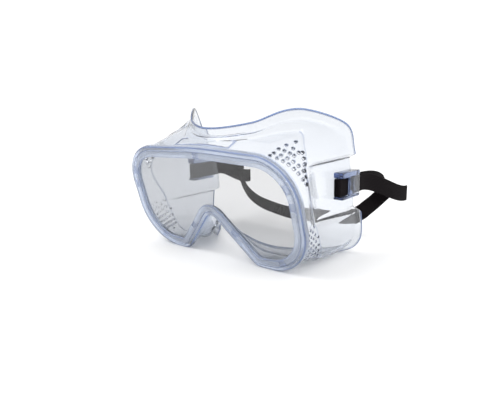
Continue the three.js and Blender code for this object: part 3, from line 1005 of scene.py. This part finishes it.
    def rim_rows(self) -> list[Loop]:
        """The rim bead, from its inner edge over its face to where the wall starts.

        Returns:
            The loops, in order.
        """
        tabs = self.tabs()
        turn = np.linspace(0, math.pi / 2, 5)
        inner, outer = self.window_round, self.rim_round
        rows = [self.rim_loop(0, self.lens_front - self.lens_fit)]
        rows += [self.rim_loop(inner * (1 - math.cos(a)), inner * (1 - math.sin(a))) for a in turn]
        first, last = self.tab_band
        soft = self.tab_edge
        for out, depth in ((first, 0), (first + soft, 1), (last - soft, 1), (last, 0)):
            rows.append(self.rim_loop(out, depth * self.tab_depth * tabs))
        groove, half = self.bead_groove, self.groove_width / 2
        for out, depth in ((-2 * half, 0), (-half, 1), (half, 1), (2 * half, 0)):
            rows.append(self.rim_loop(groove + out, depth * self.groove_depth))
        rows.append(self.rim_loop(self.rim_face - outer - soft, 0))
        for a in turn:
            rows.append(self.rim_loop(self.rim_face - outer * (1 - math.sin(a)), outer * (1 - math.cos(a))))
        inward, ahead = self.bead_rear
        rows.append(self.rim_loop(self.rim_face, self.rim_depth - ahead))
        rows.append(self.rim_loop(self.rim_face - inward, self.rim_depth))
        return rows

    def groove_rows(self) -> list[Loop]:
        """The lens groove behind the rim, from the wall's inner face to the window's edge.

        Returns:
            The loops, in order.
        """
        front = self.lens_front - self.lens_fit
        back = self.lens_front + self.lens_thickness + self.lens_fit
        floor = self.lens_bite + self.lens_fit
        return [
            self.rim_loop(self.groove_lip + self.groove_soft, back + self.groove_lip),
            self.rim_loop(self.groove_lip, back + self.groove_lip - self.groove_soft),
            self.rim_loop(self.groove_lip, back),
            self.rim_loop(floor, back),
            self.rim_loop(floor, front),
        ]

    def shell(self) -> bpy.types.Object:
        """The whole moulding before its perforations, standing.

        Returns:
            The closed moulding.
        """
        rows = self.wall_rows()
        normals = self.row_normals(rows)
        thickness = np.full(len(rows), self.wall)
        thickness[-self.lip_rows - 1 :] = np.linspace(self.wall, self.lip_thickness, self.lip_rows + 1)
        inner = rows - normals * thickness[:, None, None]
        raised = self.crease_ridge() + self.panel_rise * self.panel_outline(rows)
        outer = rows + normals * raised[:, :, None]
        outside = self.soften(self.press_channel(outer, 0))
        inside = self.soften(self.press_channel(inner, self.wall))
        edge = self.edge_rows(outside, inside)
        loops = [*self.rim_rows(), *outside, *edge, *inside[::-1], *self.groove_rows()]
        points = self.standing(np.stack(loops, axis=1)).reshape(-1, 3)
        return new_object("frame_moulding", points, grid_faces(self.around, len(loops), True))

    def edge_rows(self, outside: np.ndarray, inside: np.ndarray) -> list[Loop]:
        """The rounded bead along the flange's free edge, from its outer face to its inner face.

        Args:
            outside: The rows of the wall's outer face.
            inside: The rows of its inner face.

        Returns:
            The bead's loops, from the outer face to the inner one.
        """
        middle = (outside[-1] + inside[-1]) / 2
        outward = unit(outside[-1] - inside[-1])
        ahead = unit(outside[-1] - outside[-3])
        rows = []
        for turn in np.radians(np.linspace(*self.bead_turn, self.bead_steps)):
            rows.append(middle + self.edge_bead * (math.cos(turn) * outward + math.sin(turn) * ahead))
        return rows

    def vent_holes(self) -> list[tuple[np.ndarray, np.ndarray, float]]:
        """Every perforation on the +X side: its middle on the shoulder, the way out, and its diameter.

        Returns:
            The holes, each as its middle, its direction and its diameter.
        """
        rows = self.wall_rows()
        shoulder = rows[: self.shoulder_rows + 1]
        normals = self.row_normals(rows)[: self.shoulder_rows + 1]
        step = np.linalg.norm(self.window[1] - self.window[0])
        holes = []
        for group in self.vents:
            origin = self.place_index(group.start)
            for row in group.rows:
                for share in np.linspace(0, 1, row.count):
                    section = origin + int(round(np.interp(share, (0, 1), row.along) / step))
                    back = np.interp(share, (0, 1), row.back)
                    column, outs = shoulder[:, section], normals[:, section]
                    along = run_along(column)
                    if back <= along[-1]:
                        centre = np.array([np.interp(back, along, column[:, axis]) for axis in range(3)])
                        normal = unit(np.array([np.interp(back, along, outs[:, axis]) for axis in range(3)]))
                        holes.append((centre, normal, group.diameter))
        return holes

    def vent_places(self) -> list[tuple[np.ndarray, float]]:
        """The middle and the diameter of every perforation, on both sides."""
        return [(centre * [sign, 1, 1], size) for centre, _, size in self.vent_holes() for sign in (1, -1)]

    def vent_tool(self) -> bpy.types.Object:
        """One mesh of every perforation's cutter, on both sides.

        Returns:
            The cutters, as one closed mesh.
        """
        ring = np.linspace(0, 2 * math.pi, self.vent_sides, endpoint=False)
        reach = self.wall * 2
        tubes, faces = [], []
        for centre, normal, size in self.vent_holes():
            side = unit(np.cross(normal, [0.0, 1.0, 0.0]))
            circle = np.outer(np.cos(ring), side) + np.outer(np.sin(ring), np.cross(normal, side))
            disc = centre + circle * size / 2
            tube = np.vstack([disc + normal * reach, disc - normal * reach])
            tubes += [self.standing(tube), self.standing(tube * [-1, 1, 1])]
        for number in range(len(tubes)):
            base = number * 2 * self.vent_sides
            faces += [tuple(base + k for k in face) for face in grid_faces(2, self.vent_sides, False)]
        return new_object("vent_tool", np.vstack(tubes), faces)

    def build(self) -> bpy.types.Object:
        """The finished frame body: moulded, perforated and trimmed flat where it stands.

        Returns:
            The frame body.
        """
        piece = self.shell()
        combine(piece, self.vent_tool(), "DIFFERENCE")
        side, deep = self.trim_block
        combine(piece, block("floor_tool", (-side, -side, -deep), (side, side, 0)), "DIFFERENCE")
        shade(piece, self.sharp_from)
        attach(piece, self.body)
        back = self.standing(np.array([[0.0, 0.0, 0.0], [0.0, 1.0, 0.0]])) * MM
        direction = Vector((back[1] - back[0]) / MM)
        face = direction.dot(Vector(back[0]))
        near, far = (face + depth * MM for depth in self.milky_to)
        FRAME_PVC.material((direction, near, far))
        # Painted shade: dark blue along the edges, creases, recesses and round the vent holes.
        self.paint_edge_shade(piece)
        return self.dress(piece, FRAME_PVC, "frame_body")

    def painted_shade_lines(self) -> list[tuple[np.ndarray, Tint]]:
        """The lines that get painted shade, where the plastic is seen edge on and looks darkest and bluest,
        each with its depth.

        Returns:
            Rows of points, each with its painted shade.
        """
        rows = self.wall_rows()
        at_side = np.abs(self.window[:, 0]) > self.opening_width / 2 * self.crease_shade_from
        edge = rows[-1] + unit(rows[-1] - rows[-3]) * self.edge_bead / 2
        bead_corner = self.bead_rear[0]
        lines = [
            (edge, self.flange_shade),
            (self.press_channel(rows[self.shoulder_rows][at_side], 0), self.crease_shade),
            (self.rim_loop(self.rim_face - bead_corner, bead_corner), self.rim_edge_shade),
            (self.rim_loop(self.window_edge, self.window_edge), self.window_shade),
            (self.rim_loop(self.bead_groove, self.groove_depth), self.groove_shade),
            (rows[self.panel_outline(rows) > 0.5], self.panel_shade),
        ]
        first, last = self.tab_band
        tabs = self.tabs()
        sides = np.flatnonzero((tabs > self.tab_side_from) & (tabs < 1 - self.tab_side_from))
        for out in np.arange(first, last, self.tab_point_step):
            lines.append((self.rim_loop(out, self.tab_depth / 2)[sides], self.tab_side_shade))
        for out in self.tab_band:
            lines.append((self.rim_loop(out, self.tab_depth / 2)[tabs > 0.5], self.tab_end_shade))
        # Painted shade round each vent hole, standing in for the shadow inside it.
        for centre, size in self.vent_places():
            lines.append((centre[None, :], Tint(self.vent_shade, size / 2 + self.vent_shade_reach)))
        return lines

    def paint_edge_shade(self, piece: bpy.types.Object) -> None:
        """Writes how much painted shade each point of the moulding gets, for its material to read.

        Args:
            piece: The finished moulding.
        """
        lines = self.painted_shade_lines()
        tree = KDTree(sum(len(points) for points, _ in lines))
        looks: list[Tint] = []
        for points, line_shade in lines:
            for point in self.standing(points):
                tree.insert(point, len(looks))
                looks.append(line_shade)
        tree.balance()
        edge_shades = np.zeros(len(piece.data.vertices), np.float32)
        for vertex in piece.data.vertices:
            _, number, distance = tree.find(vertex.co / MM)
            reach = looks[number].half_width
            edge_shades[vertex.index] = looks[number].strength * (1 - smooth(reach / 2, reach, distance))
        piece.data.attributes.new("painted_edge_shade", "FLOAT", "POINT").data.foreach_set("value", edge_shades)

    def lens(self) -> bpy.types.Object:
        """The flat lens, with softened edges.

        Returns:
            The lens.
        """
        soft = self.lens_soft
        front, back = self.lens_front, self.lens_front + self.lens_thickness
        loops = [
            self.rim_loop(self.lens_bite - soft, front),
            self.rim_loop(self.lens_bite, front + soft),
            self.rim_loop(self.lens_bite, back - soft),
            self.rim_loop(self.lens_bite - soft, back),
        ]
        points = self.standing(np.vstack(loops))
        n = self.around
        faces = [tuple(range(n)), tuple(3 * n + i for i in range(n - 1, -1, -1))]
        for row in range(3):
            for i in range(n):
                after = (i + 1) % n
                faces.append((row * n + i, (row + 1) * n + i, (row + 1) * n + after, row * n + after))
        piece = new_object("clear_lens", points, faces)
        shade(piece, self.lens_sharp_from)
        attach(piece, self.body)
        return self.dress(piece, LENS_CLEAR, "lens")


# ---------------------------------------------------------------- the anchors and the strap
@dataclass
class StrapAnchor(Assembly):
    """A two-bar friction anchor moulded on the side wall: top and lower bars, front post, outer bridge."""

    side: Side = Side.LEFT
    seat: float = 70.9
    post_x: float = 73.8
    post_radius: float = 1.0
    post_gap: float = 0.02
    post_sides: int = 20
    bridge_x: float = 76.7
    bridge: float = 1.8
    top_bar: float = 4.0
    lower_bar: float = 1.8
    join: float = 1.0
    window: float = 10.0
    bar_edges: tuple[float, float, float] = (0.6, 0.5, 0.45)
    edge_steps: int = 3
    sharp_from: float = 20.0

    def bar(
        self, name: str, low: tuple[float, float, float], high: tuple[float, float, float], soft: float
    ) -> bpy.types.Object:
        """A bar with softened edges.

        Args:
            name: The object's name.
            low: The bar's low corner.
            high: Its high corner.
            soft: The width of its softened edges.

        Returns:
            The finished bar.
        """
        piece = block(name, low, high)
        bevel = piece.modifiers.new("soft edges", "BEVEL")
        bevel.width = soft * MM
        bevel.segments = self.edge_steps
        apply_modifiers(piece)
        return piece

    def post(self, front: float, low: float, high: float) -> bpy.types.Object:
        """The round front post.

        Args:
            front: The anchor's front end.
            low: The post's low end.
            high: Its high end.

        Returns:
            The post.
        """
        ring = np.linspace(0, 2 * math.pi, self.post_sides, endpoint=False)
        middle = front + self.post_radius + self.post_gap
        across = np.cos(ring) * self.post_radius + self.post_x
        along = np.sin(ring) * self.post_radius + middle
        ends = [np.column_stack([across, along, np.full(self.post_sides, z)]) for z in (low, high)]
        return new_object("post", np.vstack(ends), grid_faces(2, self.post_sides, False))

    def build(self) -> bpy.types.Object:
        """The finished anchor.

        Returns:
            The anchor.
        """
        node = f"strap_anchor_{self.side.label}"
        (_, front, foot_low), (_, rear, top_high) = (np.array(corner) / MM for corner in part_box(node))
        outer = self.bridge_x + self.bridge
        foot_high, top_low = foot_low + self.lower_bar, top_high - self.top_bar
        low, high = foot_high - self.join, top_low + self.join
        top_edge, foot_edge, bridge_edge = self.bar_edges
        name = f"anchor_{self.side.label}"
        piece = self.bar(name, (self.seat, front, top_low), (outer, rear, top_high), top_edge)
        foot = self.bar("foot_bar", (self.seat, front, foot_low), (outer, rear, foot_high), foot_edge)
        bridge_low = (self.bridge_x, front + self.window, low)
        bridge = self.bar("bridge_bar", bridge_low, (outer, rear, high), bridge_edge)
        for tool in (foot, bridge, self.post(front, low, high)):
            combine(piece, tool, "UNION")
        if self.side is Side.RIGHT:
            for vertex in piece.data.vertices:
                vertex.co.x *= -1
            piece.data.flip_normals()
        shade(piece, self.sharp_from)
        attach(piece, self.body)
        return self.dress(piece, ANCHOR_PVC, node)


@dataclass
class Webbing(Assembly):
    """Knitted elastic webbing, modelled as a ribbed band along a route."""

    width: float = 12.7
    thickness: float = 1.3
    ribs: int = 11
    rib_depth: float = 0.10
    rib_steps: int = 6
    edge_round: float = 0.8
    edge_points: int = 5
    step: float = 0.8
    sharp_from: float = 50.0

    def section(self) -> np.ndarray:
        """The band's section: [across, through] points, ribbed on both faces and rounded at its edges.

        Returns:
            The points, in order round the section.
        """
        half_w, half_t = self.width / 2, self.thickness / 2
        edge = half_t * self.edge_round
        flat = half_w - edge
        across = np.linspace(-flat, flat, self.ribs * self.rib_steps + 1)
        rib = self.rib_depth * (0.5 - 0.5 * np.cos(2 * math.pi * self.ribs * (across + flat) / (2 * flat)))
        top = np.stack([across, half_t - self.rib_depth + rib], axis=1)
        angles = np.linspace(math.pi / 2, -math.pi / 2, self.edge_points + 2)[1:-1]
        round_edge = [flat + edge * np.cos(angles), (half_t - self.rib_depth) * np.sin(angles)]
        right = np.stack(round_edge, axis=1)
        return np.vstack([top, right, -top, -right])

    def band(self, name: str, route: np.ndarray, across: np.ndarray) -> bpy.types.Object:
        """A band along a route.

        Args:
            name: The object's name.
            route: The points that its middle follows, in millimetres in the row frame.
            across: At each of them, the way its width points.

        Returns:
            The closed band, with its length and width as its uv map.
        """
        section = self.section()
        along = unit(np.gradient(route, axis=0))
        wide = unit(across - along * np.sum(across * along, axis=1, keepdims=True))
        through = np.cross(along, wide)
        points = route[:, None] + wide[:, None] * section[None, :, :1]
        points = points + through[:, None] * section[None, :, 1:]
        sides = len(section)
        piece = new_object(name, points.reshape(-1, 3), grid_faces(len(route), sides, False))
        run = run_along(route)
        weave = piece.data.uv_layers.new(name="weave")
        for loop in piece.data.loops:
            ring, j = divmod(loop.vertex_index, sides)
            weave.data[loop.index].uv = (run[ring] * MM, section[j, 0] * MM)
        shade(piece, self.sharp_from)
        return piece


@dataclass
class Strap(Webbing):
    """The webbing at one side: its fold round the anchor's post and its free tail."""

    side: Side = Side.LEFT
    tail_length: float = 67.0
    tail_droop: float = 17.0
    tail_spread: float = 10.0
    inner_layer: float = 71.85
    outer_layer: float = 75.75
    post_x: float = 73.8
    bend_steps: int = 24
    fold_step: float = 0.4
    tail_lap: tuple[float, float] = (0.1, 0.3)
    tail_away_from: float = 0.1
    tail_curl: float = 1.0
    tail_waves: float = 0.75
    blend_length: float = 22.0

    def mirrored(self, points: np.ndarray) -> np.ndarray:
        """Points of the +X side, on this side."""
        return points * [self.side.value, 1, 1]

    def fold(self) -> bpy.types.Object:
        """The fold: the inner layer, round the post, and the outer layer.

        Returns:
            The fold.
        """
        node = f"strap_fold_{self.side.label}"
        low, high = (np.array(corner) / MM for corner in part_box(node))
        radius = (self.outer_layer - self.inner_layer) / 2
        post_y = low[1] + radius + self.thickness / 2
        turn = np.linspace(math.pi, 2 * math.pi, self.bend_steps + 1)
        bend = np.stack([self.post_x + radius * np.cos(turn), post_y + radius * np.sin(turn)], axis=1)
        plan = np.vstack([[self.inner_layer, high[1]], bend, [self.outer_layer, high[1]]])
        plan = spaced(plan, int(path_length(plan) / self.fold_step), closed=False)
        route = np.column_stack([plan, np.full(len(plan), (low[2] + high[2]) / 2)])
        upright = np.tile([0.0, 0.0, 1.0], (len(route), 1))
        piece = self.band(f"webbing_fold_{self.side.label}", self.mirrored(route), upright)
        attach(piece, self.body)
        return self.dress(piece, ELASTIC, node)

    def tail(self) -> bpy.types.Object:
        """The free tail, which draws back through the anchor when it is pulled.

        Returns:
            The tail.
        """
        node = f"strap_tail_{self.side.label}"
        fold_low, fold_high = (np.array(corner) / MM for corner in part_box(f"strap_fold_{self.side.label}"))
        lap, beyond = self.tail_lap
        start, height = fold_high[1] - lap, (fold_low[2] + fold_high[2]) / 2
        t = np.linspace(0, 1, int(self.tail_length / self.step))
        away = smooth(self.tail_away_from, 1, t)
        curl = self.tail_curl * np.sin(2 * math.pi * self.tail_waves * t)
        route = np.column_stack(
            [
                self.outer_layer + self.tail_spread * away + curl * away,
                start + (self.tail_length + lap + beyond) * t,
                height - self.tail_droop * away,
            ]
        )
        across = np.tile([0.0, 0.0, 1.0], (len(t), 1))
        piece = self.band(f"webbing_tail_{self.side.label}", self.mirrored(route), across)
        self.dress(piece, ELASTIC, node)
        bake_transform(piece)
        return piece


@dataclass
class Headband(Webbing):
    """The loop of webbing that goes round the head, from the +X anchor to the -X one."""

    inner_layer: float = 71.85
    lead_in: float = 2.0
    exit_gap: float = 0.3
    curve_steps: int = 24
    lean: float = math.radians(20)
    lean_rise: tuple[float, float] = (0.0, 0.4)
    lean_fall: tuple[float, float] = (0.7, 1.0)
    tuck: float = math.radians(35)
    tuck_rise: tuple[float, float] = (0.12, 0.26)
    tuck_fall: tuple[float, float] = (0.36, 0.5)
    route: tuple[tuple[float, float, float], ...] = (
        (0, 0, 0), (-0.3, 14, 0), (-0.8, 30, -1.5), (-1.2, 45, -5), (-1.8, 58, -10), (-4.5, 66, -15.5),
        (-9.5, 67, -21.5), (-13, 60, -27), (-14, 50, -30), (-15, 38, -33), (-20, 30, -35), (-32, 25, -36),
        (-52, 22, -37), (-72, 21, -37), (-90, 21, -35), (-108, 21, -31), (-122, 23, -25), (-131, 26, -18),
        (-136, 28, -12), (-139, 29, -7), (-141, 27, -3), (-142.4, 22, -0.5), (-143.2, 12, 0.2),
        (-143.7, 0, 0),
    )

    def build(self) -> bpy.types.Object:
        """The finished headband.

        Returns:
            The headband.
        """
        fold_low, fold_high = (np.array(corner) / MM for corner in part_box("strap_fold_left"))
        start = fold_high[1] + self.exit_gap + self.lead_in
        first = np.array([self.inner_layer, start, (fold_low[2] + fold_high[2]) / 2])
        curve = catmull_rom(first + np.array(self.route), self.curve_steps)
        lead = np.array([0.0, -self.lead_in, 0.0])
        curve = np.vstack([curve[0] + lead, curve, curve[-1] + lead])
        line = spaced(curve, int(path_length(curve) / self.step), closed=False)
        t = np.linspace(0, 1, len(line))
        lean = self.lean * span_share(self.lean_rise, self.lean_fall, t)
        tuck = self.tuck * span_share(self.tuck_rise, self.tuck_fall, t)
        across = np.column_stack([-np.sin(tuck), -np.sin(lean), np.cos(lean)])
        piece = self.band("headband_loop", line, across)
        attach(piece, self.body)
        self.dress(piece, ELASTIC, "headband")
        return piece


# ---------------------------------------------------------------- the studio
@dataclass(frozen=True)
class Studio:
    """A pale floor, soft white surroundings, two soft lights and the camera."""

    azimuth: float = math.radians(41.13)
    elevation: float = math.radians(11.99)
    roll: float = math.radians(-1.259)
    place: tuple[float, float, float] = (0.24857, -0.30870, 0.11796)
    focal_length: float = 35.863
    sensor_width: float = 36.0
    clip_start: float = 0.01
    floor_size: float = 30.0
    floor_white: float = 0.93
    floor_roughness: float = 0.9
    surround: float = 1.15
    aim: tuple[float, float, float] = (0.0, 0.0, 0.05)

    def camera(self) -> bpy.types.Object:
        """The camera, at its place and turned to its azimuth, elevation and roll.

        Returns:
            The camera.
        """
        data = bpy.data.cameras.new("camera")
        data.lens = self.focal_length
        data.sensor_width = self.sensor_width
        data.clip_start = self.clip_start
        camera = bpy.data.objects.new("camera", data)
        back = Vector(
            (
                math.sin(self.azimuth) * math.cos(self.elevation),
                -math.cos(self.azimuth) * math.cos(self.elevation),
                math.sin(self.elevation),
            )
        )
        right = Vector((math.cos(self.azimuth), math.sin(self.azimuth), 0.0))
        level = Matrix((right, back.cross(right), back)).transposed()
        turned = level @ Matrix.Rotation(self.roll, 3, "Z")
        camera.matrix_world = Matrix.Translation(self.place) @ turned.to_4x4()
        bpy.context.scene.collection.objects.link(camera)
        bpy.context.scene.camera = camera
        return camera

    def floor(self) -> bpy.types.Object:
        """The pale floor.

        Returns:
            The floor.
        """
        half = self.floor_size / 2 / MM
        corners = np.array([[-half, -half, 0], [half, -half, 0], [half, half, 0], [-half, half, 0]])
        floor = new_object("studio_floor", corners, [(0, 1, 2, 3)])
        tree, shader, _ = new_material("studio_floor")
        shader.inputs["Base Color"].default_value = (*[self.floor_white] * 3, 1.0)
        shader.inputs["Roughness"].default_value = self.floor_roughness
        shader.inputs["Specular IOR Level"].default_value = 0.0
        floor.data.materials.append(tree.material)
        return floor

    def lights(self) -> None:
        """White surroundings and soft area lights."""
        world = bpy.data.worlds.new("studio")
        world.use_nodes = True
        background = world.node_tree.nodes["Background"]
        background.inputs["Color"].default_value = (1.0, 1.0, 1.0, 1.0)
        background.inputs["Strength"].default_value = self.surround
        bpy.context.scene.world = world
        for name, place, size, power in (
            ("key_light", (-0.5, -0.6, 1.0), 0.7, 4.0),
            ("fill_light", (0.9, -0.2, 0.7), 0.6, 2.0),
        ):
            data = bpy.data.lights.new(name, "AREA")
            data.size = size
            data.energy = power
            light = bpy.data.objects.new(name, data)
            light.location = place
            towards = Vector(self.aim) - Vector(place)
            light.rotation_euler = towards.to_track_quat("-Z", "Y").to_euler()
            bpy.context.scene.collection.objects.link(light)

    def build(self) -> None:
        """The whole studio."""
        self.camera()
        self.floor()
        self.lights()
        scene = bpy.context.scene
        scene.view_settings.view_transform = "Standard"
        scene.cycles.max_bounces = 32
        scene.cycles.transmission_bounces = 32
        scene.cycles.transparent_max_bounces = 16


def main() -> None:
    """Builds the studio and every piece."""
    logging.basicConfig(level=logging.INFO, format="%(name)s %(message)s")
    Studio().build()
    Headband().build()
    frame_body = FrameBody()
    frame_body.build()
    frame_body.lens()
    for side in Side:
        StrapAnchor(side=side).build()
        strap = Strap(side=side)
        strap.fold()
        strap.tail()


if __name__ == "__main__":
    main()
